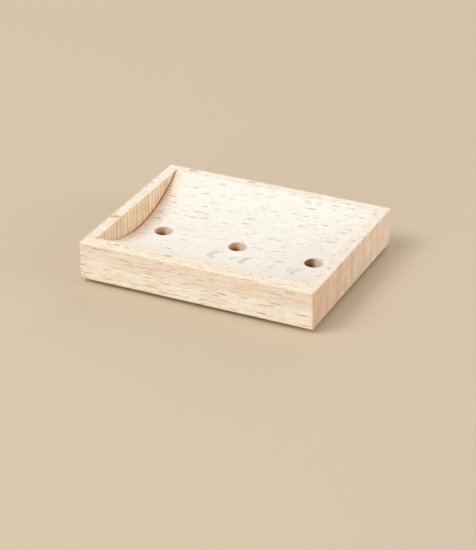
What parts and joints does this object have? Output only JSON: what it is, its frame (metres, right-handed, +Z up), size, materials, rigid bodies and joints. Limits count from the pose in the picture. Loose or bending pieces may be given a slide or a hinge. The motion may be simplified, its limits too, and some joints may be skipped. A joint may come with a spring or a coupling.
{
  "type": "soap dish",
  "caption": "Rectangular beech soap dish with a trough-shaped hollow, a row of drain holes along its lowest line and low stick-on feet.",
  "frame": {"origin": "middle of the dish's outline on the surface that its feet stand on", "axes": "+X along the length and the grain, +Y from front to back, +Z up"},
  "size_m": [0.125, 0.1, 0.0222],
  "materials": {
    "beech": "sanded, unvarnished",
    "foot_silicone": "satin, moulded",
    "adhesive_film": "matte"
  },
  "bodies": {
    "root": {"dish_body": "beech", "foot_front_left": "foot_silicone", "foot_front_right": "foot_silicone", "foot_back_left": "foot_silicone", "foot_back_right": "foot_silicone", "adhesive_front_left": "adhesive_film", "adhesive_front_right": "adhesive_film", "adhesive_back_left": "adhesive_film", "adhesive_back_right": "adhesive_film"}
  },
  "joints": []
}
